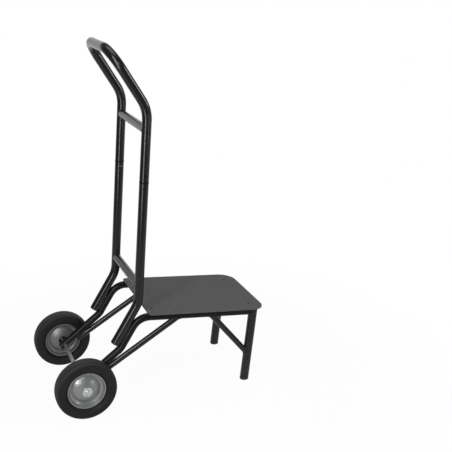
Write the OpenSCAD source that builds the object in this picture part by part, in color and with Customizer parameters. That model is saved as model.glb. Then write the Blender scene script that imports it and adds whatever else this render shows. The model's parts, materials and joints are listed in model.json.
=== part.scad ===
// Stacking chair trolley: a tubular two-wheeled frame with a low platform and a plug-in handle.
// X runs forward from the wheels to the platform's free edge, Y to the user's left, Z up.
// The origin lies on the floor under the middle of the trolley.

/* [Wheels] */
// Diameter of the tyre
wheel_d = 254; // [220:1:280]
// Width of the tyre
tyre_w = 64; // [56:1:70]
// Diameter of the hub discs at their lips
rim_d = 158; // [140:1:170]
// Width of the hub across its two lips
hub_w = 42; // [38:1:50]
// Distance between the middles of the two wheels
track = 468; // [400:1:520]
// Thickness of the hub discs
disc_t = 2; // [1.5:0.1:3]
// How far the hub's domes stand out beyond its lips
dome_out = 5; // [2:0.5:8]

/* [Axle] */
// Diameter of the axle rod
axle_d = 15.9; // [12:0.1:20]
// Diameter of the axle washers
washer_d = 42; // [30:0.5:48]
// Thickness of the axle washers
washer_t = 2.5; // [1.5:0.1:4]
// Wire diameter of the cotter pins
pin_d = 3.2; // [2.5:0.1:4]

/* [Tubes] */
// Diameter of the handle, upright and leg tubes
main_d = 38.1; // [34:0.1:42]
// Diameter of the side rails
rail_d = 31.8; // [28:0.1:36]
// Diameter of the braces
brace_d = 25.4; // [20:0.1:27]
// Diameter of the upper crossbar
upper_bar_d = 34.9; // [20:0.1:36]
// Diameter of the lower crossbar
lower_bar_d = 34.9; // [20:0.1:36]
// Wall of every tube
wall = 1.6; // [1.2:0.1:2.5]
// Gap between each side rail and the tyre beside it
side_gap = 9.1; // [4:0.1:21]

/* [Platform] */
// Length of the platform
platform_l = 537; // [480:1:600]
// Width of the platform
platform_w = 410; // [390:1:450]
// Thickness of the platform plate
platform_t = 3; // [2:0.1:6]
// Height of the middle of the platform
platform_h = 366; // [340:1:400]
// Distance from the uprights' lower bend forward to the platform's rear edge
platform_x = 38.1; // [28:0.1:88]
// Forward slope of the platform
pitch = 6; // [3:0.1:8]
// Radius of the front corners
front_corner_r = 66; // [20:1:90]
// Radius of the rear corners
rear_corner_r = 18; // [10:1:60]

/* [Legs and braces] */
// Distance from the front edge back to the legs
leg_inset = 52; // [40:1:80]
// Distance along the leg and the rail that each leg brace spans
leg_brace_run = 203; // [150:1:230]
// Distance from the platform's rear edge to the top of the axle braces
axle_brace_reach = 146; // [110:1:200]
// Distance along the rail from the axle to the foot of the axle braces
axle_brace_foot = 53; // [40:1:70]

/* [Uprights] */
// Forward lean of the uprights
lean = 3.65; // [1:0.05:6]
// Distance from the axle forward to the uprights' lower bend
upright_x = 245.4; // [238:0.1:255]
// Height of the uprights' lower bend
upright_h = 445.2; // [430:0.1:475]
// Length of the uprights' slanted foot
foot_l = 197; // [185:0.5:200]
// Slope of the uprights' slanted foot, from level
foot_slope = 58.3; // [55:0.1:62]
// Bend radius of the uprights
upright_bend_r = 120; // [80:1:150]
// Height of the uprights' lower end over the rails' lower bend
knee_h = 27.6; // [16:0.1:40]
// Bend radius of the rails
rail_bend_r = 75; // [60:1:85]
// Distance up the upright from its lower bend to the lower crossbar
lower_bar_up = 73; // [60:0.5:100]

/* [Handle] */
// Distance up the upright from its lower bend to the seam under the handle
seam_up = 510; // [450:1:560]
// Distance from the upper crossbar up to the handle's upper bend
upper_bar_up = 80.5; // [70:0.5:120]
// Distance up from the lower bend to the handle's upper bend
handle_up = 799; // [790:1:840]
// Rearward rake of the handle's side bars, from upright
rake = 31.7; // [20:0.1:40]
// Length of the raked side bars up to the middle of the grip
rake_l = 269.5; // [250:0.5:320]
// Bend radius of the handle's upper bends
upper_bend_r = 140; // [100:1:180]
// Bend radius of the grip's corners
grip_bend_r = 85; // [70:1:110]
// Length of the reduced end inside the upright
spigot_l = 70; // [60:1:90]

/* [Snap buttons] */
// Diameter of the button
button_d = 10; // [8:0.1:12]
// Distance from the seam down to the button
button_drop = 18; // [14:0.5:24]
// How far the button stands out of the upright
button_out = 2.6; // [2:0.1:3.5]

/* [Hidden] */
$fn = 64;

// Paint and metal colours
coat = [0.10, 0.10, 0.11];
panel_grey = [0.29, 0.29, 0.30];
rubber = [0.13, 0.13, 0.14];
hub_grey = [0.55, 0.56, 0.57];
zinc = [0.78, 0.79, 0.80];
plug_black = [0.06, 0.06, 0.06];

// Overrun of every cut, overlap of joined runs, swelling of a bend over its straights, and the clearances
cut = 4;
lap = 1;
swell = 0.2;
running_gap = 0.05;
seat_gap = 0.15;
slip_gap = 0.3;
end_gap = 0.3;

// Wheel places along Y, and the side frames between the wheels
wheel_r = wheel_d / 2;
wheel_y = track / 2;
side_y = wheel_y - tyre_w / 2 - side_gap - rail_d / 2;
rim_r = rim_d / 2;
sleeve_l = hub_w + 2 * dome_out + disc_t;
sleeve_t = 4;
sleeve_r = axle_d / 2 + running_gap + sleeve_t;
sleeve_in = wheel_y - sleeve_l / 2;
sleeve_out = wheel_y + sleeve_l / 2;
outer_washer_y = sleeve_out + end_gap;
pin_y = outer_washer_y + washer_t + pin_d / 2 + seat_gap;
axle_chamfer = 1.2;
axle_end = pin_y + pin_d + axle_chamfer;
spacer_t = 4;

// Cotter pin: eye over wire, and the angle at which its ends spread
eye_share = 1.1;
spread_a = 38;

// Tyre section: a rounded outline about its widest place, with ribs on the flank and grooves in the tread
belly_share = 0.56;
belly_power = 2.4;
shoulder_power = 3.4;
flank_from = -57;
flank_step = 3;
rib_shares = [0.20, 0.33];
rib_out = 0.9;
rib_half = 2.4;
groove_shares = [-0.48, 0, 0.48];
groove_w = 2;
groove_h = 3;
lip_h = 4;
seat_r = rim_r - lip_h;
bead_half = hub_w / 2 - disc_t;

// Hub disc section, as shares of the rim's radius and of the hub's half width
dome_r_share = 0.72;
dome_drop_share = 0.88;
shoulder_r_share = 0.88;
shoulder_drop_share = 0.5;
dome_steps = 20;
// Step down all round the dome
step_w = 2.5;
step_h = 2;

// Directions in the side view: along the platform, square to it, up the upright, up the foot, up the rake
along = [cos(pitch), 0, -sin(pitch)];
square_up = [sin(pitch), 0, cos(pitch)];
up_dir = [sin(lean), 0, cos(lean)];
foot_dir = [cos(foot_slope), 0, sin(foot_slope)];
foot_front = [sin(foot_slope), 0, -cos(foot_slope)];
rake_dir = [-sin(rake), 0, cos(rake)];

// Side view places, measured from the axle's foot on the floor
axle_p = [0, 0, wheel_r];
deck_mid = [upright_x + platform_x + platform_l / 2 * cos(pitch), 0, platform_h];
function on_deck(s, n) = deck_mid + s * along + n * square_up;
upright_p = [upright_x, 0, upright_h];
function on_upright(d) = upright_p + d * up_dir;
foot_end = upright_p - foot_l * foot_dir;
seam_p = on_upright(seam_up);
handle_p = on_upright(handle_up);
grip_p = handle_p + rake_l * rake_dir;
button_p = on_upright(seam_up - button_drop);

// Path of the whole handle loop, from the left seam over the grip to the right seam
handle_side = [seam_p, handle_p, grip_p];
handle_pts = concat([for (p = handle_side) p + [0, side_y, 0]],
    [for (i = [2 : -1 : 0]) handle_side[i] - [0, side_y, 0]]);
handle_rs = [0, upper_bend_r, grip_bend_r, grip_bend_r, upper_bend_r, 0];

// The rail lies along the upright's foot, let in by a shallow saddle
saddle = 0.8;
rail_off = (main_d + rail_d) / 2 - saddle;
rail_line_p = upright_p + rail_off * foot_front;
knee_p = rail_line_p + (foot_end[2] - knee_h - rail_line_p[2]) / foot_dir[2] * foot_dir;
rail_n = -platform_t - rail_d / 2 - swell;
deck_p = on_deck(0, rail_n);
hip_t = dot(deck_p - rail_line_p, square_up) / dot(foot_dir, square_up);
hip_p = rail_line_p + hip_t * foot_dir;
tail_dir = unit(knee_p - axle_p);
tail_l = 20;
tail_p = axle_p - tail_l * tail_dir;
leg_s = platform_l / 2 - leg_inset;
leg_top_p = on_deck(leg_s, -platform_t);
leg_rail_p = on_deck(leg_s, rail_n);
rail_pts = [tail_p, knee_p, hip_p, leg_rail_p];
rail_rs = [0, rail_bend_r, rail_bend_r, 0];
upright_pts = [foot_end, upright_p, seam_p];
upright_rs = [0, upright_bend_r, 0];

// Leg, foot cap and brace places
cap_t = 7;
cap_stem_l = 22;
leg_run = leg_top_p[2] / square_up[2];
leg_foot_p = leg_top_p - leg_run * square_up;
leg_low_p = leg_foot_p + (cap_t + main_d / 2 * tan(pitch)) * square_up;
leg_brace_pts = [on_deck(leg_s - leg_brace_run, rail_n), leg_rail_p - leg_brace_run * square_up];
brace_bite = 6.3;
tail_under = [tail_dir[2], 0, -tail_dir[0]];
axle_brace_off = (rail_d + brace_d) / 2 - brace_bite;
axle_brace_low = axle_p + axle_brace_foot * tail_dir + axle_brace_off * tail_under;
axle_brace_pts = [axle_brace_low, on_deck(axle_brace_reach - platform_l / 2, rail_n)];

// Cross members and platform screws
member_w = 40;
member_t = 5;
member_lip = 2;
// How far short of the rail's middle a member ends, so that its top edge keeps some thickness
member_seat = sqrt(pow(rail_d / 2, 2) - pow(rail_d / 2 - member_lip, 2));
screw_d = 6;
screw_head_d = 11;
screw_l = 14;
screw_sink = 0.2;
screw_drive_d = 3.5;
screw_drive_h = 1.8;
rear_screw_in = 30;
front_screw_in = 58;
screw_side_in = 39;
rear_screw_s = rear_screw_in - platform_l / 2;
front_screw_s = platform_l / 2 - front_screw_in;
screw_y = side_y - screw_side_in;

// Plugs and spigots
plug_flange_t = 2.5;
plug_step = 1.5;
plug_stem_l = 8;
bore_d = main_d - 2 * wall;
spigot_d = bore_d - 2 * slip_gap;
spigot_bore_d = spigot_d - 2 * wall;
swage_l = 8;
seam_chamfer = 1.3;

// Snap button and leaf spring, inside the spigot
button_hole_d = button_d + 2 * slip_gap;
button_dome = 1.2;
flange_step = 1.5;
flange_t = 1;
spring_w = 9;
spring_t = 0.9;
spring_l = 36;
flange_r = button_d / 2 + flange_step;
flange_out = sqrt(pow(spigot_bore_d / 2, 2) - pow(flange_r, 2)) - seat_gap;
leaf_out = flange_out - flange_t;
leaf_in = sqrt(pow(spigot_bore_d / 2, 2) - pow(spring_w / 2, 2)) - seat_gap;
fold_r = (leaf_out + leaf_in) / 2;

// The middle of the trolley's length sits over the origin
front_x = on_deck(platform_l / 2, 0)[0];
shift_x = (wheel_r - front_x) / 2;

function dot(a, b) = a * b;
function unit(v) = v / norm(v);
function beside(v) = unit(abs(v[1]) < norm(v) / 2 ? cross(v, [0, 1, 0]) : cross(v, [1, 0, 0]));

// Matrix with its X and Z along the given directions and its origin at o
function pose(o, x, z) = let (y = cross(z, x)) [
    [x[0], y[0], z[0], o[0]],
    [x[1], y[1], z[1], o[1]],
    [x[2], y[2], z[2], o[2]],
    [0, 0, 0, 1]];

// Length that a bend takes from the straight on each side of point i
function turn(p, i) = acos(dot(unit(p[i] - p[i - 1]), unit(p[i + 1] - p[i])));
function setback(p, r, i) = i == 0 || i == len(p) - 1 ? 0 : r[i] * tan(turn(p, i) / 2);

// Directions out of the bend at point i, square to the run before it and to the run after it
function outward_before(p, i) = let (into = unit(p[i] - p[i - 1]), away = unit(p[i + 1] - p[i]))
    unit(dot(away, into) * into - away);
function outward_after(p, i) = let (into = unit(p[i] - p[i - 1]), away = unit(p[i + 1] - p[i]))
    unit(into - dot(away, into) * away);

// Seam direction of the run that ends at point i: it follows a bend at either end
function run_seam(p, i) = i < len(p) - 1 ? outward_before(p, i)
    : i > 1 ? outward_after(p, i - 1) : beside(p[i] - p[i - 1]);

// Puts a part drawn from the axle over the origin
module place() {
    translate([shift_x, 0, 0])
        children();
}

// Moves a part drawn in the middle plane out to one side: 1 is left and -1 is right
module to_side(side) {
    translate([0, side * side_y, 0])
        children();
}

// Draws a part for the left, mirrored for the right
module handed(side) {
    place()
        if (side > 0)
            children();
        else
            mirror([0, 1, 0])
                children();
}

// Straight round rod from a to b, its seam line facing x
module seamed_rod(a, b, d, x) {
    multmatrix(pose(a, x, unit(b - a)))
        cylinder(d = d, h = norm(b - a));
}

// Straight round rod from a to b
module rod(a, b, d) {
    seamed_rod(a, b, d, beside(b - a));
}

// Round bend at point i of a path, a hair fuller than the straights that run into it
module bend(p, r, i, d) {
    into = unit(p[i] - p[i - 1]);
    outward = outward_before(p, i);
    start = p[i] - setback(p, r, i) * into;
    multmatrix(pose(start - r[i] * outward, outward, cross(outward, into)))
        rotate_extrude(angle = turn(p, i))
            translate([r[i], 0])
                circle(d = d + 2 * swell);
}

// Solid rod along a path of points p with bend radii r
module bent_rod(p, r, d) {
    for (i = [1 : len(p) - 1]) {
        ahead = unit(p[i] - p[i - 1]);
        from = setback(p, r, i - 1) - (i == 1 ? 0 : lap);
        to = setback(p, r, i) - (i == len(p) - 1 ? 0 : lap);
        seamed_rod(p[i - 1] + from * ahead, p[i] - to * ahead, d, run_seam(p, i));
    }
    if (len(p) > 2)
        for (i = [1 : len(p) - 2])
            bend(p, r, i, d);
}

// The path p with both ends carried on by d
function longer(p, d) = let (n = len(p) - 1) [for (i = [0 : n])
    i == 0 ? p[0] - d * unit(p[1] - p[0]) : i == n ? p[n] + d * unit(p[n] - p[n - 1]) : p[i]];

// Tube along a path
module bent_tube(p, r, d) {
    difference() {
        bent_rod(p, r, d);
        bent_rod(longer(p, cut), r, d - 2 * wall);
    }
}

// Straight runs that the joining pieces are coped to
module rail_tail_form() {
    rod(tail_p, knee_p, rail_d);
}

module rail_deck_form() {
    rod(hip_p, leg_rail_p, rail_d);
}

module upright_foot_form() {
    rod(foot_end, upright_p, main_d);
}

module upright_form() {
    rod(upright_p, handle_p, main_d);
}

module leg_form() {
    rod(leg_low_p, leg_top_p + cut * square_up, main_d);
}

// Hole for the snap button through a tube wall, on its inner face
module button_hole() {
    translate([button_p[0], -main_d, button_p[2]])
        rotate([-90, 0, 0])
            cylinder(d = button_hole_d, h = main_d);
}

// Groove where the handle meets the upright: both tube ends are chamfered
module seam_groove() {
    multmatrix(pose(seam_p, beside(up_dir), up_dir))
        rotate_extrude()
            polygon([[main_d / 2 - seam_chamfer, 0], [main_d / 2 + seam_chamfer, 2 * seam_chamfer],
                [main_d / 2 + seam_chamfer, -2 * seam_chamfer]]);
}

// Reduced end of the handle inside one upright
module spigot() {
    low = on_upright(seam_up - spigot_l);
    mid = on_upright(seam_up + swage_l / 2);
    high = on_upright(seam_up + swage_l);
    difference() {
        union() {
            rod(low, mid, spigot_d);
            rod(on_upright(seam_up + lap), high, bore_d + wall);
        }
        rod(low - cut * up_dir, high + cut * up_dir, spigot_bore_d);
        button_hole();
    }
}

module handle_loop() {
    color(coat)
        place() {
            difference() {
                bent_tube(handle_pts, handle_rs, main_d);
                for (side = [1, -1])
                    to_side(side)
                        seam_groove();
            }
            to_side(1)
                spigot();
            mirror([0, 1, 0])
                to_side(1)
                    spigot();
        }
}

// Crossbar of diameter d between the two side frames at point p, coped to the tubes at its ends
module crossbar(p, d) {
    difference() {
        rod(p - [0, side_y, 0], p + [0, side_y, 0], d);
        rod(p - [0, side_y + cut, 0], p + [0, side_y + cut, 0], d - 2 * wall);
        for (side = [1, -1])
            to_side(side)
                upright_form();
    }
}

module upper_crossbar() {
    color(coat)
        place()
            crossbar(on_upright(handle_up - upper_bar_up), upper_bar_d);
}

module lower_crossbar() {
    color(coat)
        place()
            crossbar(on_upright(lower_bar_up), lower_bar_d);
}

module upright(side) {
    color(coat)
        handed(side)
            to_side(1)
                difference() {
                    bent_tube(upright_pts, upright_rs, main_d);
                    button_hole();
                    seam_groove();
                }
}

module side_rail(side) {
    color(coat)
        handed(side)
            to_side(1)
                difference() {
                    bent_tube(rail_pts, rail_rs, rail_d);
                    leg_form();
                    upright_foot_form();
                    translate(axle_p)
                        rotate([90, 0, 0])
                            cylinder(d = axle_d + 2 * seat_gap, h = 2 * rail_d, center = true);
                }
}

module front_leg(side) {
    color(coat)
        handed(side)
            to_side(1)
                bent_tube([leg_low_p, leg_top_p], [0, 0], main_d);
}

module leg_brace(side) {
    color(coat)
        handed(side)
            to_side(1)
                difference() {
                    bent_tube(leg_brace_pts, [0, 0], brace_d);
                    rail_deck_form();
                    leg_form();
                }
}

module axle_brace(side) {
    color(coat)
        handed(side)
            to_side(1)
                difference() {
                    bent_tube(axle_brace_pts, [0, 0], brace_d);
                    rail_tail_form();
                    rail_deck_form();
                }
}

// Lays a part drawn flat on the platform's own plane, top face at zero
module on_platform() {
    place()
        multmatrix(pose(deck_mid, along, square_up))
            children();
}

// Flat bar across the frame under the platform, drilled for its two screws
module cross_member(s) {
    color(coat)
        difference() {
            on_platform()
                difference() {
                    translate([s, 0, -platform_t - member_t / 2])
                        cube([member_w, 2 * (side_y - member_seat), member_t], center = true);
                    for (side = [1, -1])
                        translate([s, side * screw_y, -platform_t - member_t - cut])
                            cylinder(d = screw_d, h = member_t + 2 * cut);
                }
            place()
                for (side = [1, -1])
                    to_side(side) {
                        rail_deck_form();
                        leg_form();
                    }
        }
}

// Plate outline with its own corner radii
module platform_outline() {
    half_l = platform_l / 2;
    half_w = platform_w / 2;
    difference() {
        square([platform_l, platform_w], center = true);
        corner_cut([-half_l, -half_w], 0, rear_corner_r);
        corner_cut([half_l, -half_w], 90, front_corner_r);
        corner_cut([half_l, half_w], 180, front_corner_r);
        corner_cut([-half_l, half_w], 270, rear_corner_r);
    }
}

// What a round corner of radius r takes off the sharp corner at p, turned by a to face into the plate
module corner_cut(p, a, r) {
    translate(p)
        rotate(a)
            difference() {
                translate([-cut, -cut])
                    square(r + cut);
                translate([r, r])
                    circle(r = r, $fn = 96);
            }
}

// Countersunk screw outline of revolution, head up, top at zero
module screw_form(gap) {
    head_h = (screw_head_d - screw_d) / 2;
    translate([0, 0, -head_h])
        cylinder(d1 = screw_d + 2 * gap, d2 = screw_head_d + 2 * gap, h = head_h);
    translate([0, 0, -screw_l])
        cylinder(d = screw_d, h = screw_l);
}

module each_screw() {
    for (s = [rear_screw_s, front_screw_s])
        for (side = [1, -1])
            translate([s, side * screw_y, -screw_sink])
                children();
}

module platform() {
    color(panel_grey)
        on_platform()
            difference() {
                translate([0, 0, -platform_t])
                    linear_extrude(platform_t)
                        platform_outline();
                each_screw() {
                    screw_form(seat_gap);
                    cylinder(d = screw_head_d + 2 * seat_gap, h = cut);
                }
            }
}

module platform_screws() {
    color(plug_black)
        on_platform()
            each_screw()
                difference() {
                    screw_form(0);
                    translate([0, 0, -screw_drive_h])
                        cylinder(d = screw_drive_d, h = screw_drive_h + cut, $fn = 6);
                }
}

// Rubber cap: a stem up the leg, a rim under the tube's end and a sole cut level with the floor
module foot_cap(side) {
    stem_d = bore_d - 2 * seat_gap;
    color(plug_black)
        handed(side)
            to_side(1)
                intersection() {
                    union() {
                        rod(leg_low_p - lap * square_up, leg_low_p + cap_stem_l * square_up, stem_d);
                        rod(leg_low_p - main_d * square_up, leg_low_p, main_d);
                    }
                    translate([leg_low_p[0] - main_d, -main_d, 0])
                        cube([2 * main_d, 2 * main_d, leg_low_p[2] + cap_stem_l + cut]);
                }
}

// Push-in plug for an open tube end at p, pushed along dir
module end_plug(p, dir, d) {
    rod(p - lap * dir, p + plug_stem_l * dir, d - 2 * wall - 2 * seat_gap);
    rod(p - plug_flange_t * dir, p, d - 2 * plug_step);
}

module upright_plug(side) {
    color(plug_black)
        handed(side)
            to_side(1)
                end_plug(foot_end, foot_dir, main_d);
}

module rail_plug(side) {
    color(plug_black)
        handed(side)
            to_side(1)
                end_plug(tail_p, tail_dir, rail_d);
}

// Rod along the axle's line between two places on Y
module axle_rod(y0, y1, d) {
    translate([0, y1, wheel_r])
        rotate([90, 0, 0])
            cylinder(d = d, h = y1 - y0);
}

module axle() {
    color(zinc)
        place()
            difference() {
                union() {
                    axle_rod(axle_chamfer - axle_end, axle_end - axle_chamfer, axle_d);
                    for (side = [1, -1])
                        translate([0, side * (axle_end - axle_chamfer), wheel_r])
                            rotate([-90 * side, 0, 0])
                                cylinder(d1 = axle_d, d2 = axle_d - 2 * axle_chamfer, h = axle_chamfer);
                }
                for (side = [1, -1])
                    translate([0, side * pin_y, wheel_r])
                        cylinder(d = pin_d + 2 * seat_gap, h = 2 * axle_d, center = true);
            }
}

// Plain ring round the axle between two places on Y
module axle_ring(y0, y1, d, gap) {
    difference() {
        axle_rod(y0, y1, d);
        axle_rod(y0 - cut, y1 + cut, axle_d + 2 * gap);
    }
}

module axle_spacer(side) {
    color(zinc)
        handed(side)
            difference() {
                axle_ring(side_y, sleeve_in - end_gap - washer_t, axle_d + 2 * spacer_t, seat_gap);
                to_side(1)
                    rail_tail_form();
            }
}

module inner_washer(side) {
    color(zinc)
        handed(side)
            axle_ring(sleeve_in - end_gap - washer_t, sleeve_in - end_gap, washer_d, seat_gap);
}

module outer_washer(side) {
    color(zinc)
        handed(side)
            axle_ring(outer_washer_y, outer_washer_y + washer_t, washer_d, seat_gap);
}

// Split pin: a double leg through the axle, an eye above and two ends spread apart below
module cotter_pin(side) {
    eye_r = pin_d * eye_share;
    reach = axle_d / 2 + pin_d;
    color(zinc)
        handed(side)
            translate([0, pin_y, wheel_r]) {
                translate([0, 0, -reach])
                    cylinder(d = pin_d, h = 2 * reach);
                translate([0, 0, reach + eye_r])
                    rotate([90, 0, 0])
                        rotate_extrude()
                            translate([eye_r, 0])
                                circle(d = pin_d);
                for (spread = [1, -1])
                    translate([0, 0, -reach])
                        rotate([0, 180 + spread * spread_a, 0])
                            cylinder(d = pin_d / 2, h = axle_d / 2);
            }
}

// How far the flank's ribs stand out at height h over the rim: each rib is one smooth wave
function rib_at(h, rise) = rib_out * max([for (s = rib_shares)
    let (x = (h - s * rise) / rib_half) abs(x) < 1 ? (1 + cos(180 * x)) / 2 : 0]);

// Flank point at angle a round the widest place: radius, and half width there with its ribs
function flank_at(a, rise) = let (
        power = 2 / (a < 0 ? belly_power : shoulder_power),
        belly = belly_share * rise,
        reach = a < 0 ? -belly : rise - belly,
        h = belly + reach * pow(abs(sin(a)), power))
    [rim_r + h, tyre_w / 2 * pow(cos(a), power) + rib_at(h, rise)];

// Tyre section: bead, ribbed flanks and a grooved tread
module tyre_section() {
    half = tyre_w / 2;
    rise = wheel_r - rim_r;
    flank = [for (a = [flank_from : flank_step : 90 - flank_step]) flank_at(a, rise)];
    side = concat([[seat_r, bead_half], [rim_r, bead_half]], flank, [[wheel_r, 0]]);
    other = [for (i = [len(side) - 2 : -1 : 0]) [side[i][0], -side[i][1]]];
    difference() {
        polygon(concat(side, other));
        for (s = groove_shares)
            translate([wheel_r - groove_h, s * half - groove_w / 2])
                square([groove_h + cut, groove_w]);
    }
}

// Turns a section drawn as radius and width about the wheel's own axle
module wheel_turn() {
    translate([0, wheel_y, wheel_r])
        rotate([-90, 0, 0])
            rotate_extrude($fn = 96)
                children();
}

module tyre(side) {
    color(rubber)
        handed(side)
            wheel_turn()
                tyre_section();
}

// Section of a pressed hub disc: dome, step down to a ring, shoulder, seat for the tyre and outer lip
module disc_section() {
    face = hub_w / 2;
    crown = face + dome_out;
    dome_r = rim_r * dome_r_share;
    drop = face * dome_drop_share;
    ball_r = (pow(dome_r, 2) + pow(drop, 2)) / (2 * drop);
    dome = [for (i = [0 : dome_steps])
        let (r = sleeve_r + seat_gap + (dome_r - sleeve_r - seat_gap) * i / dome_steps)
            [r, crown - ball_r + sqrt(pow(ball_r, 2) - pow(r, 2))]];
    step = [dome_r + step_w, crown - drop - step_h];
    shoulder = [rim_r * shoulder_r_share, face * (1 - shoulder_drop_share)];
    rise = (face - shoulder[1]) / (seat_r - shoulder[0]);
    outside = concat(dome, [step, shoulder]);
    inside = [for (i = [len(outside) - 1 : -1 : 0]) outside[i] - [0, disc_t]];
    seat_in = seat_r - disc_t;
    lip = [[seat_r, face], [rim_r, face], [rim_r, face - disc_t], [seat_r, face - disc_t]];
    seat = [[seat_r, seat_gap], [seat_in, seat_gap],
        [seat_in, inside[0][1] + (seat_in - shoulder[0]) * rise]];
    polygon(concat(outside, lip, seat, inside));
}

module outer_hub_disc(side) {
    color(hub_grey)
        handed(side)
            wheel_turn()
                disc_section();
}

module inner_hub_disc(side) {
    color(hub_grey)
        handed(side)
            wheel_turn()
                mirror([0, 1])
                    disc_section();
}

module hub_sleeve(side) {
    color(zinc)
        handed(side)
            difference() {
                axle_rod(sleeve_in, sleeve_out, 2 * sleeve_r);
                axle_rod(sleeve_in - cut, sleeve_out + cut, axle_d + 2 * running_gap);
            }
}

// Puts a part on the button's axis: Z of the part runs inwards out of the upright, X runs up the upright
module at_button() {
    to_side(1)
        multmatrix(pose(button_p, up_dir, [0, -1, 0]))
            children();
}

module snap_button(side) {
    top = main_d / 2 + button_out;
    ball_r = (pow(button_d / 2, 2) + pow(button_dome, 2)) / (2 * button_dome);
    color(plug_black)
        handed(side)
            at_button() {
                translate([0, 0, leaf_out])
                    cylinder(r = flange_r, h = flange_t);
                intersection() {
                    translate([0, 0, leaf_out])
                        cylinder(d = button_d, h = top - leaf_out);
                    translate([0, 0, top - ball_r])
                        sphere(r = ball_r, $fn = 96);
                }
            }
}

// Leaf spring folded back on itself: one leaf behind the button, the other on the far wall of the spigot
module button_spring(side) {
    color(zinc)
        handed(side)
            at_button() {
                for (leaf = [leaf_out - spring_t, -leaf_in])
                    translate([-flange_r, -spring_w / 2, leaf])
                        cube([spring_l, spring_w, spring_t]);
                translate([spring_l - flange_r, 0, (leaf_out - leaf_in) / 2])
                    rotate([-90, 0, 0])
                        rotate([0, 0, -90])
                            rotate_extrude(angle = 180)
                                translate([fold_r - spring_t, -spring_w / 2])
                                    square([spring_t, spring_w]);
            }
}

handle_loop();
upper_crossbar();
upright(1);  // left_upright
upright(-1);  // right_upright
lower_crossbar();
side_rail(1);  // left_side_rail
side_rail(-1);  // right_side_rail
front_leg(1);  // left_front_leg
front_leg(-1);  // right_front_leg
leg_brace(1);  // left_leg_brace
leg_brace(-1);  // right_leg_brace
axle_brace(1);  // left_axle_brace
axle_brace(-1);  // right_axle_brace
cross_member(front_screw_s);  // front_cross_member
cross_member(rear_screw_s);  // rear_cross_member
platform();
platform_screws();
foot_cap(1);  // left_foot_cap
foot_cap(-1);  // right_foot_cap
upright_plug(1);  // left_upright_plug
upright_plug(-1);  // right_upright_plug
rail_plug(1);  // left_rail_plug
rail_plug(-1);  // right_rail_plug
axle();
axle_spacer(1);  // left_axle_spacer
axle_spacer(-1);  // right_axle_spacer
inner_washer(1);  // left_inner_washer
inner_washer(-1);  // right_inner_washer
outer_washer(1);  // left_outer_washer
outer_washer(-1);  // right_outer_washer
cotter_pin(1);  // left_cotter_pin
cotter_pin(-1);  // right_cotter_pin
tyre(1);  // left_tyre
tyre(-1);  // right_tyre
outer_hub_disc(1);  // left_outer_hub_disc
outer_hub_disc(-1);  // right_outer_hub_disc
inner_hub_disc(1);  // left_inner_hub_disc
inner_hub_disc(-1);  // right_inner_hub_disc
hub_sleeve(1);  // left_hub_sleeve
hub_sleeve(-1);  // right_hub_sleeve
snap_button(1);  // left_snap_button
snap_button(-1);  // right_snap_button
button_spring(1);  // left_button_spring
button_spring(-1);  // right_button_spring
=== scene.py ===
"""Looks of a stacking chair trolley: finishes for its solids, weld beads, springs and a studio.

The file is laid out as an add-on and run as a script. Lengths are in metres, in the frame of the
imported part: X runs forward from the wheels, Y to the user's left, and Z up from the floor.
"""

import json
import math

import bpy
import numpy as np
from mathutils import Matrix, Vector

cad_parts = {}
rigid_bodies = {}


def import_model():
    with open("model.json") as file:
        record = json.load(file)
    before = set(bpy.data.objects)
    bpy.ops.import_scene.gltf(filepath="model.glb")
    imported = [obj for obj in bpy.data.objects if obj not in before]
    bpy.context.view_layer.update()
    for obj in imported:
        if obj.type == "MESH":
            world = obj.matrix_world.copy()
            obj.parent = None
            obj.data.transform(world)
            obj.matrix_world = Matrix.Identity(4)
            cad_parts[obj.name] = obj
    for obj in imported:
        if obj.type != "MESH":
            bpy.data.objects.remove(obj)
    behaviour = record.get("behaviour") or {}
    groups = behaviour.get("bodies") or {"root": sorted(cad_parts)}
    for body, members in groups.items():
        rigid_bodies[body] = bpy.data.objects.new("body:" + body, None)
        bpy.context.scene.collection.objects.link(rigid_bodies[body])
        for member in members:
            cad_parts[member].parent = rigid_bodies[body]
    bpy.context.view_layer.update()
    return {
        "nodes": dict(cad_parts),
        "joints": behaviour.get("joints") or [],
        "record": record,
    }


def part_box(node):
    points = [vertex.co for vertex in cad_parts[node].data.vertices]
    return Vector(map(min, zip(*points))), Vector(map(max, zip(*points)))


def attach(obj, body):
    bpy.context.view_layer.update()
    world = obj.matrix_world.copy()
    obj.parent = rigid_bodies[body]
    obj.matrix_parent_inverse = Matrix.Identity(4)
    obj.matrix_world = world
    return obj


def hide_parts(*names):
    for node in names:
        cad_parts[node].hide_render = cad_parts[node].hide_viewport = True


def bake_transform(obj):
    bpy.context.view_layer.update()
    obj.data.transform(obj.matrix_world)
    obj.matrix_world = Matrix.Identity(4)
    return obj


bl_info = {
    "name": "Stacking Chair Trolley",
    "version": (1, 0, 0),
    "blender": (4, 5, 0),
    "location": "3D View > Sidebar > Trolley",
    "description": "Dresses the trolley's solids, adds welds and springs, and sets up a studio",
    "category": "Object",
}

for leftover in list(bpy.data.objects):
    bpy.data.objects.remove(leftover)
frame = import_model()

SIDES = ("left", "right")
WHEEL_CENTRE = next(j["pos_m"] for j in frame["joints"] if j["name"] == "left_wheel_spin")

# Straight runs of the tubes: the axis to look along, and the share of the node's box that is taken
WHOLE = (2, 0.0, 1.0)
UPRIGHT_POST = (2, 0.40, 0.97)
UPRIGHT_FOOT = (2, 0.0, 0.20)
RAIL_DECK = (0, 0.45, 0.99)
RAIL_SLANT = (0, 0.255, 0.295)
RAIL_TAIL = (0, 0.10, 0.20)

# Points along a round weld, a seam, a joint ring and each third of a spring, and round a bead
ROUND_STEPS = 240
SEAM_STEPS = 120
RING_STEPS = 120
LEAF_STEPS = 24
BEAD_SIDES = 10

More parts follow.
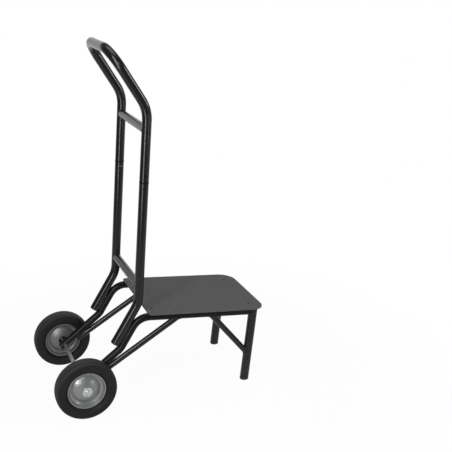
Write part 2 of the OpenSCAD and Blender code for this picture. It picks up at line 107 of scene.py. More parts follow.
# Usual span of a noise value, and the border of the tread inside the tyre's largest radius
NOISE_SPAN = (0.3, 0.7)
TREAD_BORDER = (0.010, 0.002)

# Lightness of zinc where shade is painted on it, against the rest, and the roughness added there
SHADED_LEVEL = 0.56
SHADED_ROUGHNESS = 0.19

# Share of a joint ring's radius that is sunk in the post, and area that guards a division
RING_SUNK = 0.6
TINY = 1e-12

# Welds that run right round a tube: name, the tube that ends there, and the tube that it ends on.
# The handle's sides go on in line with the uprights, whose posts stand for them at the upper bar.
ROUND_WELDS = (
    ("lower_bar", "lower_crossbar", WHOLE, "{side}_upright", UPRIGHT_POST),
    ("upper_bar", "upper_crossbar", WHOLE, "{side}_upright", UPRIGHT_POST),
    ("brace_to_rail", "{side}_leg_brace", WHOLE, "{side}_side_rail", RAIL_DECK),
    ("brace_to_leg", "{side}_leg_brace", WHOLE, "{side}_front_leg", WHOLE),
    ("axle_brace_top", "{side}_axle_brace", WHOLE, "{side}_side_rail", RAIL_DECK),
    ("rail_to_leg", "{side}_side_rail", RAIL_DECK, "{side}_front_leg", WHOLE),
)

# Seams between tubes side by side: name, the two tubes, and the shares of the first that it takes
SEAM_WELDS = (
    ("foot", "{side}_upright", UPRIGHT_FOOT, "{side}_side_rail", RAIL_SLANT, 0.04, 0.57),
    ("brace_foot", "{side}_axle_brace", WHOLE, "{side}_side_rail", RAIL_TAIL, 0.01, 0.16),
)


class TrolleyFinish(bpy.types.PropertyGroup):
    """Colours of the trolley's finishes"""

    coat: bpy.props.FloatVectorProperty(
        name="Powder coat", description="Colour of the coated tubes", subtype="COLOR", size=4,
        default=(0.004, 0.004, 0.0042, 1.0))
    dust: bpy.props.FloatVectorProperty(
        name="Dust", description="Colour of the dust that settles low on the trolley",
        subtype="COLOR", size=4, default=(0.12, 0.115, 0.105, 1.0))
    platform: bpy.props.FloatVectorProperty(
        name="Platform", description="Colour of the platform's textured paint",
        subtype="COLOR", size=4, default=(0.094, 0.094, 0.095, 1.0))
    screw: bpy.props.FloatVectorProperty(
        name="Screws", description="Colour of the blackened screws", subtype="COLOR", size=4,
        default=(0.010, 0.010, 0.0105, 1.0))
    tyre: bpy.props.FloatVectorProperty(
        name="Tyres", description="Colour of the tyres' rubber", subtype="COLOR", size=4,
        default=(0.0090, 0.0087, 0.0097, 1.0))
    plug: bpy.props.FloatVectorProperty(
        name="Plugs", description="Colour of the moulded caps and plugs", subtype="COLOR", size=4,
        default=(0.012, 0.012, 0.012, 1.0))
    hub: bpy.props.FloatVectorProperty(
        name="Hubs", description="Colour of the painted hub discs", subtype="COLOR", size=4,
        default=(0.30, 0.305, 0.307, 1.0))
    zinc: bpy.props.FloatVectorProperty(
        name="Zinc", description="Colour of the zinc-plated axle fittings", subtype="COLOR", size=4,
        default=(0.80, 0.81, 0.82, 1.0))


class TrolleyWelds(bpy.types.PropertyGroup):
    """Sizes of the weld beads, joint rings and leaf springs"""

    bead: bpy.props.FloatProperty(
        name="Bead radius", description="Radius of a weld bead round a tube",
        unit="LENGTH", default=0.0024)
    seam: bpy.props.FloatProperty(
        name="Seam radius", description="Radius of a weld bead between two tubes side by side",
        unit="LENGTH", default=0.0032)
    # The joint ring is a dark piece of painted shade in the seam of handle and upright.
    ring: bpy.props.FloatProperty(
        name="Joint ring", description="Radius of the dark ring in the joint of handle and upright",
        unit="LENGTH", default=0.0020)
    ripple: bpy.props.FloatProperty(
        name="Ripple", description="Height of a bead's ripples, as a share of its radius",
        subtype="FACTOR", default=0.14)
    pitch: bpy.props.FloatProperty(
        name="Ripple pitch", description="Distance between a bead's ripples",
        unit="LENGTH", default=0.0026)
    leaf: bpy.props.FloatProperty(
        name="Leaf", description="Thickness of the leaf springs behind the snap buttons",
        unit="LENGTH", default=0.0009)


class TrolleyStudio(bpy.types.PropertyGroup):
    """Floor, lamps and camera"""

    floor: bpy.props.FloatVectorProperty(
        name="Floor", description="Colour of the floor", subtype="COLOR", size=4,
        default=(0.86, 0.86, 0.86, 1.0))
    floor_reach: bpy.props.FloatProperty(
        name="Floor reach", description="Distance from the trolley to the floor's edge",
        unit="LENGTH", default=60.0)
    glow: bpy.props.FloatProperty(
        name="Floor glow",
        description="How much of the floor near the trolley is seen as plain white",
        subtype="FACTOR", default=0.96)
    shadow_reach: bpy.props.FloatProperty(
        name="Shadow reach", description="Distance from the trolley over which its shadow is kept",
        unit="LENGTH", default=0.8)
    ambient: bpy.props.FloatProperty(
        name="Ambient", description="Strength of the light from all round", default=0.25)
    room: bpy.props.FloatProperty(
        name="Room",
        description="How bright the room on the camera's side is in the trolley's reflections",
        subtype="FACTOR", default=0.2)
    sheen: bpy.props.FloatProperty(
        name="Floor sheen",
        description="How bright the floor near the trolley is in its reflections",
        subtype="FACTOR", default=0.58)
    paper: bpy.props.FloatVectorProperty(
        name="Paper",
        description="Left edge, front edge and half the soft border of the part of the floor that "
        "shows in reflections", size=3, unit="LENGTH", default=(-2.3, -2.1, 0.5))
    board: bpy.props.FloatVectorProperty(
        name="Board",
        description="Left, right, lower and upper edge of the white board behind the trolley",
        size=4, unit="LENGTH", default=(-1.9, 3.5, 0.65, 2.5))
    board_away: bpy.props.FloatProperty(
        name="Board distance", description="Distance from the trolley back to the white board",
        unit="LENGTH", default=2.2)
    lamp: bpy.props.FloatProperty(
        name="Lamps", description="Brightness of all the softboxes together", default=1.0)
    camera: bpy.props.FloatVectorProperty(
        name="Camera", description="Place of the camera", subtype="TRANSLATION", unit="LENGTH",
        default=(-0.94107, -3.02287, 1.82057))
    azimuth: bpy.props.FloatProperty(
        name="Azimuth", description="Direction of the camera round the trolley", subtype="ANGLE",
        default=math.radians(-20.06))
    elevation: bpy.props.FloatProperty(
        name="Elevation", description="Height of the camera over the horizon", subtype="ANGLE",
        default=math.radians(17.93))
    lens: bpy.props.FloatProperty(
        name="Lens", description="Focal length, in millimetres", default=63.0)
    shift: bpy.props.FloatVectorProperty(
        name="Shift", description="Sideways and upward shift of the picture",
        size=2, default=(0.0935, -0.0449))


# Node building

def add_node(tree, kind, links=None, **settings):
    """Adds a node. Settings are its own properties; links gives inputs a value or an output."""
    node = tree.nodes.new(kind)
    node.location = (180 * len(tree.nodes), -40 * (len(tree.nodes) % 5))
    for name, value in settings.items():
        setattr(node, name, value)
    for name, value in (links or {}).items():
        if isinstance(value, bpy.types.NodeSocket):
            tree.links.new(value, node.inputs[name])
        else:
            node.inputs[name].default_value = value
    return node


def math_node(tree, operation, *values):
    """Result of one sum on values or outputs."""
    return add_node(tree, "ShaderNodeMath", dict(enumerate(values)), operation=operation).outputs[0]


def noise(tree, vector, scale, detail=3.0, roughness=0.55):
    """Noise value from 0 to 1 at a vector."""
    links = {"Vector": vector, "Scale": scale, "Detail": detail, "Roughness": roughness}
    return add_node(tree, "ShaderNodeTexNoise", links).outputs["Fac"]


def stretch(tree, value, low, high, to_low=0.0, to_high=1.0):
    """Value carried from the span low to high onto the span to_low to to_high, with soft ends."""
    links = {"Value": value, "From Min": low, "From Max": high, "To Min": to_low, "To Max": to_high}
    span = add_node(tree, "ShaderNodeMapRange", links, interpolation_type="SMOOTHSTEP")
    return span.outputs["Result"]


def vector_math(tree, operation, *values):
    """Outputs of one sum on vectors."""
    links = dict(enumerate(values))
    return add_node(tree, "ShaderNodeVectorMath", links, operation=operation).outputs


def split_vector(tree, vector):
    """X, Y and Z of a vector."""
    return add_node(tree, "ShaderNodeSeparateXYZ", {"Vector": vector}).outputs


def join_vector(tree, x, y, z):
    """Vector with the given X, Y and Z."""
    return add_node(tree, "ShaderNodeCombineXYZ", {"X": x, "Y": y, "Z": z}).outputs[0]


def blend_colours(tree, factor, first, second):
    """Colour between first and second."""
    mix = add_node(tree, "ShaderNodeMix", {0: factor, 6: first, 7: second}, data_type="RGBA")
    return mix.outputs[2]


def shade(colour, level):
    """The colour made lighter or darker by a factor."""
    return (colour[0] * level, colour[1] * level, colour[2] * level, 1.0)


def toned(tree, tone, colour, low, high):
    """Colour that a tone from 0 to 1 carries between two levels of lightness."""
    return blend_colours(tree, tone, shade(colour, low), shade(colour, high))


def gloss_change(tree, value, low, high):
    """Roughness that a noise value carries between low and high."""
    return stretch(tree, value, *NOISE_SPAN, low, high)


def new_group(name, inputs, outputs):
    """Empty node group: inputs maps socket names to defaults, outputs lists value sockets."""
    tree = bpy.data.node_groups.new(name, "ShaderNodeTree")
    for socket, default in inputs.items():
        vector = default is None or isinstance(default, tuple)
        kind = "NodeSocketVector" if vector else "NodeSocketFloat"
        made = tree.interface.new_socket(name=socket, in_out="INPUT", socket_type=kind)
        if default is not None:
            made.default_value = default
    for socket in outputs:
        tree.interface.new_socket(name=socket, in_out="OUTPUT", socket_type="NodeSocketFloat")
    start = tree.nodes.new("NodeGroupInput").outputs
    return tree, start


def end_group(tree, **results):
    """Wires a group's results to its output sockets; an underscore in a name stands for a space."""
    end = tree.nodes.new("NodeGroupOutput")
    for name, value in results.items():
        tree.links.new(value, end.inputs[name.replace("_", " ")])
    return tree


def powder_skin_group():
    """Sprayed skin: broad tone, finer gloss change, and the small waves of sprayed powder."""
    inputs = {"Vector": None, "Broad Scale": 7.0, "Peel Scale": 420.0}
    tree, start = new_group("Powder skin", inputs, ("Tone", "Gloss", "Height"))
    tone = noise(tree, start["Vector"], start["Broad Scale"], detail=5.0, roughness=0.6)
    finer = math_node(tree, "MULTIPLY", start["Broad Scale"], 9.0)
    gloss = noise(tree, start["Vector"], finer, detail=4.0)
    peel = noise(tree, start["Vector"], start["Peel Scale"], detail=2.0, roughness=0.4)
    return end_group(tree, Tone=tone, Gloss=gloss, Height=peel)


def low_dust_group():
    """Dust that thins out upwards from the floor, in patches."""
    inputs = {"Vector": None, "Top": 0.4, "Patch Scale": 28.0}
    tree, start = new_group("Low dust", inputs, ("Mask",))
    height = split_vector(tree, start["Vector"])["Z"]
    fade = stretch(tree, math_node(tree, "DIVIDE", height, start["Top"]), 1.0, 0.0)
    cloud = noise(tree, start["Vector"], start["Patch Scale"], detail=6.0, roughness=0.7)
    patch = stretch(tree, cloud, 0.42, 0.72)
    return end_group(tree, Mask=math_node(tree, "MULTIPLY", fade, patch))


def rub_marks_group():
    """Fine rub marks: thin stretched streaks inside a few worn patches."""
    inputs = {"Vector": None, "Stretch": (1.0, 1.0, 0.12), "Scale": 160.0, "Amount": 0.5}
    tree, start = new_group("Rub marks", inputs, ("Mask",))
    drawn = vector_math(tree, "MULTIPLY", start["Vector"], start["Stretch"])[0]
    fibre = noise(tree, drawn, start["Scale"], detail=3.0, roughness=0.6)
    streak = stretch(tree, fibre, 0.60, 0.72)
    patch = stretch(tree, noise(tree, start["Vector"], scale=6.0, detail=4.0), 0.50, 0.70)
    marks = math_node(tree, "MULTIPLY", streak, patch)
    return end_group(tree, Mask=math_node(tree, "MULTIPLY", marks, start["Amount"]))


def wheel_rings_group():
    """Rings about the wheel's axle: distance from it, a wave along that, and a grain round it."""
    inputs = {"Vector": None, "Centre": (0.0, 0.0, 0.0), "Pitch": 0.004}
    tree, start = new_group("Wheel rings", inputs, ("Radius", "Rings", "Round Grain"))
    place = vector_math(tree, "SUBTRACT", start["Vector"], start["Centre"])[0]
    split = split_vector(tree, place)
    flat = join_vector(tree, split["X"], 0.0, split["Z"])
    radius = vector_math(tree, "LENGTH", flat)["Value"]
    turns = math_node(tree, "DIVIDE", radius, start["Pitch"])
    wave = math_node(tree, "SINE", math_node(tree, "MULTIPLY", turns, math.tau))
    rings = math_node(tree, "MULTIPLY_ADD", wave, 0.5, 0.5)
    grain = noise(tree, join_vector(tree, radius, split["Y"], 0.0), scale=900.0, detail=3.0)
    return end_group(tree, Radius=radius, Rings=rings, Round_Grain=grain)


def plating_group():
    """Zinc plating: small crystal patches of changing tone under a fine drawn grain."""
    inputs = {"Vector": None, "Crystal Scale": 260.0}
    tree, start = new_group("Zinc plating", inputs, ("Tone", "Height"))
    links = {"Vector": start["Vector"], "Scale": start["Crystal Scale"]}
    cells = add_node(tree, "ShaderNodeTexVoronoi", links).outputs["Color"]
    tone = add_node(tree, "ShaderNodeSeparateColor", {"Color": cells}).outputs["Red"]
    finer = math_node(tree, "MULTIPLY", start["Crystal Scale"], 6.0)
    grain = noise(tree, start["Vector"], finer, detail=2.0)
    return end_group(tree, Tone=tone, Height=grain)


GROUP_MAKERS = {
    "Powder skin": powder_skin_group,
    "Low dust": low_dust_group,
    "Rub marks": rub_marks_group,
    "Wheel rings": wheel_rings_group,
    "Zinc plating": plating_group,
}


def effect(tree, name, **values):
    """Places a shared node group, made on first use, and gives its outputs."""
    group = bpy.data.node_groups.get(name) or GROUP_MAKERS[name]()
    links = {socket.replace("_", " "): value for socket, value in values.items()}
    return add_node(tree, "ShaderNodeGroup", links, node_tree=group).outputs


# Finishes

def new_finish(name):
    """Empty material: its tree, its shader and the object's own coordinates."""
    material = bpy.data.materials.new(name)
    material.use_nodes = True
    tree = material.node_tree
    shader = tree.nodes["Principled BSDF"]
    where = tree.nodes.new("ShaderNodeTexCoord").outputs["Object"]
    return material, tree, shader, where


def wire(tree, shader, colour, roughness, height, strength, depth):
    """Wires a colour, a roughness and a bumped normal to a material's shader."""
    links = {"Height": height, "Strength": strength, "Distance": depth}
    bump = add_node(tree, "ShaderNodeBump", links)
    tree.links.new(colour, shader.inputs["Base Color"])
    tree.links.new(roughness, shader.inputs["Roughness"])
    tree.links.new(bump.outputs["Normal"], shader.inputs["Normal"])


def powder_coat(finish, name, dulling, specular):
    """Black semi-gloss powder coat with a little dust low down and faint rub marks.

    Dulling adds roughness, and specular is the strength of the shine.
    """
    material, tree, shader, where = new_finish(name)
    skin = effect(tree, "Powder skin", Vector=where, Broad_Scale=7.0, Peel_Scale=420.0)
    dust = effect(tree, "Low dust", Vector=where, Top=0.42)["Mask"]
    marks = effect(tree, "Rub marks", Vector=where, Scale=150.0, Amount=0.35)["Mask"]
    colour = toned(tree, skin["Tone"], finish.coat, 0.8, 1.25)
    colour = blend_colours(tree, marks, colour, shade(finish.coat, 3.2))
    thin_dust = math_node(tree, "MULTIPLY", dust, 0.14)
    colour = blend_colours(tree, thin_dust, colour, tuple(finish.dust))
    rough = gloss_change(tree, skin["Gloss"], 0.205 + dulling, 0.23 + dulling)
    rough = math_node(tree, "MULTIPLY_ADD", dust, 0.18, rough)
    wire(tree, shader, colour, rough, skin["Height"], strength=0.02, depth=0.0003)
    shader.inputs["Specular IOR Level"].default_value = specular
    return material


def platform_paint(finish):
    """Matte textured grey paint with wiped streaks along the platform and a fine wrinkle."""
    material, tree, shader, where = new_finish("grey platform paint")
    skin = effect(tree, "Powder skin", Vector=where, Broad_Scale=4.0, Peel_Scale=900.0)
    marks = effect(tree, "Rub marks", Vector=where, Stretch=(0.1, 1.0, 1.0), Scale=120.0,
                   Amount=0.25)["Mask"]
    colour = toned(tree, skin["Tone"], finish.platform, 0.95, 1.05)
    colour = blend_colours(tree, marks, colour, shade(finish.platform, 1.2))
    rough = gloss_change(tree, skin["Gloss"], 0.58, 0.68)
    wire(tree, shader, colour, rough, skin["Height"], strength=0.25, depth=0.0004)
    shader.inputs["Specular IOR Level"].default_value = 0.20
    return material


def blackened_steel(finish):
    """Satin black oxide of the screws."""
    material, tree, shader, where = new_finish("blackened screw steel")
    skin = effect(tree, "Powder skin", Vector=where, Broad_Scale=160.0, Peel_Scale=2500.0)
    colour = toned(tree, skin["Tone"], finish.screw, 0.7, 1.4)
    rough = gloss_change(tree, skin["Gloss"], 0.50, 0.62)
    wire(tree, shader, colour, rough, skin["Height"], strength=0.15, depth=0.0001)
    shader.inputs["Specular IOR Level"].default_value = 0.12
    return material


def button_steel(finish):
    """Dark steel of the snap buttons, rubbed bright on the dome."""
    material, tree, shader, where = new_finish("rubbed button steel")
    skin = effect(tree, "Powder skin", Vector=where, Broad_Scale=240.0, Peel_Scale=2500.0)
    marks = effect(tree, "Rub marks", Vector=where, Scale=900.0, Amount=0.8)["Mask"]
    colour = toned(tree, skin["Tone"], finish.zinc, 0.10, 0.18)
    colour = blend_colours(tree, marks, colour, shade(finish.zinc, 0.4))
    rough = gloss_change(tree, skin["Gloss"], 0.26, 0.36)
    wire(tree, shader, colour, rough, skin["Height"], strength=0.05, depth=0.0001)
    shader.inputs["Metallic"].default_value = 1.0
    return material


def painted_joint_shade(finish):
    """Dull dark finish of the joint rings, painted as the shade in the seam of handle and upright."""
    material, tree, shader, where = new_finish("painted joint shade")
    skin = effect(tree, "Powder skin", Vector=where, Broad_Scale=120.0, Peel_Scale=1800.0)
    colour = toned(tree, skin["Tone"], finish.plug, 0.3, 0.6)
    rough = gloss_change(tree, skin["Gloss"], 0.8, 0.95)
    wire(tree, shader, colour, rough, skin["Height"], strength=0.2, depth=0.0002)
    shader.inputs["Specular IOR Level"].default_value = 0.1
    return material


def tyre_rubber(finish):
    """Moulded rubber: fine rings from the mould, a grain round the wheel, and a dusty tread."""
    material, tree, shader, where = new_finish("tyre rubber")
    rings = effect(tree, "Wheel rings", Vector=where, Centre=tuple(WHEEL_CENTRE), Pitch=0.0042)
    skin = effect(tree, "Powder skin", Vector=where, Broad_Scale=14.0, Peel_Scale=700.0)
    wheel_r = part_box("left_tyre")[1].z - WHEEL_CENTRE[2]
    tread = stretch(tree, rings["Radius"], *(wheel_r - border for border in TREAD_BORDER))
    colour = toned(tree, skin["Tone"], finish.tyre, 0.75, 1.35)
    dusty = math_node(tree, "MULTIPLY", math_node(tree, "MULTIPLY", tread, skin["Gloss"]), 0.25)
    colour = blend_colours(tree, dusty, colour, tuple(finish.dust))
    rough = gloss_change(tree, rings["Round Grain"], 0.50, 0.62)
    height = math_node(tree, "MULTIPLY_ADD", rings["Rings"], 0.6, skin["Height"])
    wire(tree, shader, colour, rough, height, strength=0.18, depth=0.0005)
    shader.inputs["Specular IOR Level"].default_value = 0.30
    return material


def moulded_plug(finish):
    """Matte moulded plastic and rubber of the caps and plugs."""
    material, tree, shader, where = new_finish("moulded black rubber")
    skin = effect(tree, "Powder skin", Vector=where, Broad_Scale=60.0, Peel_Scale=1400.0)
    dust = effect(tree, "Low dust", Vector=where, Top=0.05, Patch_Scale=70.0)["Mask"]
    colour = toned(tree, skin["Tone"], finish.plug, 0.8, 1.3)
    colour = blend_colours(tree, math_node(tree, "MULTIPLY", dust, 0.3), colour, tuple(finish.dust))
    rough = gloss_change(tree, skin["Gloss"], 0.55, 0.7)
    wire(tree, shader, colour, rough, skin["Height"], strength=0.2, depth=0.0003)
    return material


def hub_paint(finish, name, level, dulling):
    """Grey semi-gloss paint over pressed steel, with faint spun rings.

    Level makes it lighter or darker, and below one paints shade; dulling adds roughness.
    """
    material, tree, shader, where = new_finish(name)
    rings = effect(tree, "Wheel rings", Vector=where, Centre=tuple(WHEEL_CENTRE), Pitch=0.0016)
    skin = effect(tree, "Powder skin", Vector=where, Broad_Scale=22.0, Peel_Scale=800.0)
    colour = toned(tree, skin["Tone"], finish.hub, 0.9 * level, 1.1 * level)
    rough = gloss_change(tree, rings["Round Grain"], 0.28 + dulling, 0.31 + dulling)
    height = math_node(tree, "MULTIPLY_ADD", rings["Rings"], 0.15, skin["Height"])
    wire(tree, shader, colour, rough, height, strength=0.012, depth=0.0004)
    shader.inputs["Metallic"].default_value = 0.6
    return material


def zinc_plate(finish, name, level, shaded_span=None):
    """Zinc plating with small crystal patches; level makes it brighter or darker, and below one
    paints shade.

    The span after the level gives two distances from the middle plane: up to the first the colour is
    darkened as painted shade and rougher, and past the second it is as new.
    """
    material, tree, shader, where = new_finish(name)
    plate = effect(tree, "Zinc plating", Vector=where, Crystal_Scale=260.0)
    colour = toned(tree, plate["Tone"], finish.zinc, 0.86 * level, 1.06 * level)
    rough = stretch(tree, plate["Tone"], 0.0, 1.0, 0.24, 0.38)
    if shaded_span:
        # Painted shade: darker colour, with more roughness, near the middle plane
        distance = math_node(tree, "ABSOLUTE", split_vector(tree, where)["Y"])
        dull = stretch(tree, distance, shaded_span[1], shaded_span[0])
        colour = blend_colours(tree, dull, colour, shade(finish.zinc, SHADED_LEVEL * level))
        rough = math_node(tree, "MULTIPLY_ADD", dull, SHADED_ROUGHNESS, rough)
    wire(tree, shader, colour, rough, plate["Height"], strength=0.08, depth=0.0002)
    shader.inputs["Metallic"].default_value = 1.0
    return material


def dress(slot, material, ending=""):
    """Gives a finish to every solid of one of the record's slots whose name has the ending."""
    names = [part["node"] for part in frame["record"]["subparts"]
             if part["material_slot"] == slot and part["node"].endswith(ending)]
    if not names:
        raise RuntimeError(f"no solid {ending} of the trolley has the finish {slot}")
    for name in names:
        for place in frame["nodes"][name].material_slots:
            place.material = material


# Weld beads, joint rings and leaf springs

def solid_points(node):
    """Corner points of a solid's mesh, one row each."""
    mesh = frame["nodes"][node].data
    points = np.empty(len(mesh.vertices) * 3)
    mesh.vertices.foreach_get("co", points)
    return points.reshape(-1, 3)


def straight_run(node, span):
    """Middle, upward axis direction, outer radius and length of a tube's straight run.

    The axis is the direction that the wall's normals have the least of, weighted by area. The
    middle and the length are those of the run's reach along the axis, and the radius is half its
    width.
    """
    mesh = frame["nodes"][node].data
    mesh.calc_loop_triangles()
    corners = np.empty(len(mesh.loop_triangles) * 3, dtype=np.int32)
    mesh.loop_triangles.foreach_get("vertices", corners)
    faces = solid_points(node)[corners].reshape(-1, 3, 3)
    axis, low, high = span
    reach = faces[..., axis].min(), faces[..., axis].max()
    middle = (faces[..., axis].mean(axis=1) - reach[0]) / (reach[1] - reach[0])
    faces = faces[(middle >= low) & (middle <= high)]
    normals = np.cross(faces[:, 1] - faces[:, 0], faces[:, 2] - faces[:, 0])
    sizes = np.linalg.norm(normals, axis=1).clip(TINY)
    turns = np.linalg.eigh(np.einsum("ni,nj->ij", normals, normals / sizes[:, None]))[1]
    spread = faces.reshape(-1, 3) @ turns
    centre = turns @ ((spread.min(axis=0) + spread.max(axis=0)) / 2)
    along = turns[:, 0] if turns[2, 0] > 0 else -turns[:, 0]
    size = np.ptp(spread, axis=0)
    return centre, along, size[1:].max() / 2, size[0]


def meeting_line(branch, main, steps):
    """Line on which a branch tube's wall meets a main tube's wall, with its outward direction.

    Round the branch at angle t, a point of its wall slides along the branch's axis by the larger
    root of |w + s d| = R, with w and d taken square to the main tube's axis and R its radius.
    """
    (point, along, radius, _), (main_point, main_along, main_radius, _) = branch, main
    away = point - main_point
    away = away - (away @ main_along) * main_along
    if away @ along < 0:
        along = -along
    first = np.cross(along, main_along)
    first /= np.linalg.norm(first)
    second = np.cross(along, first)
    angle = np.linspace(0, math.tau, steps, endpoint=False)[:, None]
    outward = np.cos(angle) * first + np.sin(angle) * second
    wall = point + radius * outward
    offset = wall - main_point
    offset = offset - (offset @ main_along)[:, None] * main_along
    drift = along - (along @ main_along) * main_along
    a = drift @ drift
    b = 2 * offset @ drift
    c = (offset ** 2).sum(axis=1) - main_radius ** 2
    slide = (-b + np.sqrt(np.clip(b * b - 4 * a * c, 0, None))) / (2 * a)
    return wall + slide[:, None] * along, outward


def seam_line(first, second, low, high, bead, face, steps):
    """Line in the groove between two tubes side by side, with its outward direction.

    Where the axes are D apart, the line lies at u = sqrt(2 (b + r + q - D) / (1 / r + 1 / q)) from
    their plane, with r and q the radii and b the bead's, and never past nine tenths of r. There it
    runs midway between the two walls.
    """
    (point, along, radius, length), (other_point, other_along, other_radius, _) = first, second
    share = np.linspace(low, high, steps)[:, None]
    axis = point + (share - 0.5) * length * along
    away = other_point - axis
    away = away - (away @ other_along)[:, None] * other_along
    distance = np.linalg.norm(away, axis=1, keepdims=True)
    towards = away / distance
    outward = face * np.cross(along, towards)
    lap = (bead + radius + other_radius - distance).clip(0, None)
    aside = np.sqrt(2 * lap / (1 / radius + 1 / other_radius)).clip(0, 0.9 * radius)
    wall = np.sqrt(radius ** 2 - aside ** 2)
    other_wall = np.sqrt(other_radius ** 2 - aside ** 2)
    return axis + (wall + distance - other_wall) / 2 * towards + aside * outward, outward


def joint_ring(post, top, ring, steps):
    """Circle round a post at its upper end, with its outward direction.

    It is c + R (cos t a + sin t b), with R the post's radius less the ring's sunken part.
    """
    point, along, radius, _ = post
    centre = point + (top - point[2]) / along[2] * along
    first = np.cross(along, (0.0, 1.0, 0.0))
    first /= np.linalg.norm(first)
    angle = np.linspace(0, math.tau, steps, endpoint=False)[:, None]
    outward = np.cos(angle) * first + np.sin(angle) * np.cross(along, first)
    return centre + (radius - RING_SUNK * ring) * outward, outward


def bead_surface(path, outward, bead, welds, closed, sides=BEAD_SIDES):
    """Rippled bead: a circle carried along a path, whose radius rises and falls once every ripple.

    Round the path at angle f the point is path + r (cos f n + sin f m), with n the outward
    direction squared to the path and m square to both. An open bead thins out close to its ends, by
    the root of 1 - 0.9 |s|^12 with s from -1 to 1 along it.
    """
    steps = len(path)
    if closed:
        ahead = np.roll(path, -1, axis=0) - np.roll(path, 1, axis=0)
    else:
        ahead = np.gradient(path, axis=0)
    ahead /= np.linalg.norm(ahead, axis=1, keepdims=True)
    across = outward - (outward * ahead).sum(axis=1, keepdims=True) * ahead
    across /= np.linalg.norm(across, axis=1, keepdims=True)
    beside = np.cross(ahead, across)
    gone = np.concatenate([[0], np.linalg.norm(np.diff(path, axis=0), axis=1).cumsum()])
    count = max(1, round(gone[-1] / welds.pitch))
    radius = bead * (1 + welds.ripple * np.cos(math.tau * count * gone / gone[-1]))
    if not closed:
        radius = radius * np.sqrt(1 - 0.9 * np.abs(np.linspace(-1, 1, steps)) ** 12)
    turn = np.linspace(0, math.tau, sides, endpoint=False)[None, :, None]
    ring = np.cos(turn) * across[:, None] + np.sin(turn) * beside[:, None]
    points = (path[:, None] + radius[:, None, None] * ring).reshape(-1, 3)
    return points, swept_faces(steps, sides, closed)


def leaf_spring(node, along, thickness, steps):
    """Leaf spring folded back on itself, with the span of Y between its two leaves.

    A flat strip is carried along a U: up one leaf, round a half circle c + r (cos t, sin t) and
    down the other. Its corners stand half the thickness off the U and half the width to either
    side. The solid gives its reach.
    """
    axes = np.stack([along, (0.0, 1.0, 0.0), np.cross(along, (0.0, 1.0, 0.0))])
    spread = solid_points(node) @ axes.T
    low, high = spread.min(axis=0), spread.max(axis=0)
    radius = (high[1] - low[1] - thickness) / 2
    fold = high[0] - thickness / 2 - radius
    angle = np.linspace(-math.pi / 2, math.pi / 2, steps)
    leaf = np.linspace(low[0], fold, steps, endpoint=False)
    off = np.stack([np.cos(angle), np.sin(angle)], axis=1)
    off = np.concatenate([np.tile(off[:1], (steps, 1)), off, np.tile(off[-1:], (steps, 1))])
    run = np.concatenate([leaf, np.full(steps, fold), leaf[::-1]])
    centre = np.stack([run, np.full(3 * steps, (low[1] + high[1]) / 2)], axis=1)
    rise = radius + thickness / 2 * np.array([1, 1, -1, -1])
    line = centre[:, None] + rise[None, :, None] * off[:, None]
    edges = np.array([high[2], low[2], low[2], high[2]])
    aside = np.broadcast_to(edges[None, :, None], (3 * steps, 4, 1))
    points = np.concatenate([line, aside], axis=2).reshape(-1, 3) @ axes
    return points, swept_faces(3 * steps, 4, False), (low[1] + thickness, high[1] - thickness)


def swept_faces(steps, sides, closed):
    """Faces of a ring of points carried along a path, with flat ends where the path is open."""
    row = np.arange(steps if closed else steps - 1)[:, None] * sides
    column = np.arange(sides)[None, :]
    beyond = (row + sides) % (steps * sides)
    after = (column + 1) % sides
    faces = np.stack([row + column, row + after, beyond + after, beyond + column], axis=-1)
    faces = faces.reshape(-1, 4).tolist()
    if not closed:
        faces.append(list(range(sides - 1, -1, -1)))
        faces.append(list(range((steps - 1) * sides, steps * sides)))
    return faces


def add_piece(name, points, faces, material, smooth=True):
    """Makes a mesh piece with its place in its mesh, in the given material."""
    mesh = bpy.data.meshes.new(name)
    mesh.from_pydata(points.tolist(), [], faces)
    mesh.polygons.foreach_set("use_smooth", np.full(len(mesh.polygons), smooth))
    mesh.materials.append(material)
    mesh.update()
    piece = bpy.data.objects.new(name, mesh)
    bpy.context.scene.collection.objects.link(piece)
    return piece


# Studio

# Lamps: name, place, the point that it faces, width and height, and how bright its face is
LAMPS = (
    ("left strip", (-1.338, -1.466, 1.64), (-0.065, -0.193, 1.64), (0.37, 2.52), 9.0),
    ("right softbox", (1.36, -0.75, 1.65), (-0.09, -0.193, 1.32), (0.3, 0.6), 13.0),
    ("camera softbox", (-1.17, -2.6, 1.02), (-0.35, -0.25, 0.16), (0.42, 0.42), 4.5),
    ("low softbox", (1.6, -2.5, 0.55), (-0.35, -0.25, 0.16), (0.4, 0.4), 6.5),
    ("upper softbox", (-0.95, -1.78, 1.85), (0.0, -0.19, 0.3), (1.3, 0.3), 5.0),
    ("top softbox", (0.0, 0.0, 3.6), (0.0, 0.0, 0.0), (2.0, 2.0), 1.8),
)
WHITE = (1.0, 1.0, 1.0, 1.0)


def ray_kinds(tree):
    """One for rays from the camera, and one for mirrored and see-through rays."""
    path = tree.nodes.new("ShaderNodeLightPath").outputs
    mirrored = math_node(tree, "MAXIMUM", path["Is Glossy Ray"], path["Is Transmission Ray"])
    return path["Is Camera Ray"], mirrored


def seen_white(tree, eye, mirrored, level):
    """Strength of the white that is seen: one for the eye, and the given level in reflections."""
    return math_node(tree, "MAXIMUM", eye, math_node(tree, "MULTIPLY", mirrored, level))


def white_light(tree, kind, strength):
    """White light of an emission or background node."""
    return add_node(tree, kind, {"Color": WHITE, "Strength": strength}).outputs[0]


def emptied(holder, shader):
    """Node tree of a new material or world, without the shader that it starts with."""
    holder.use_nodes = True
    tree = holder.node_tree
    tree.nodes.remove(tree.nodes[shader])
    return tree


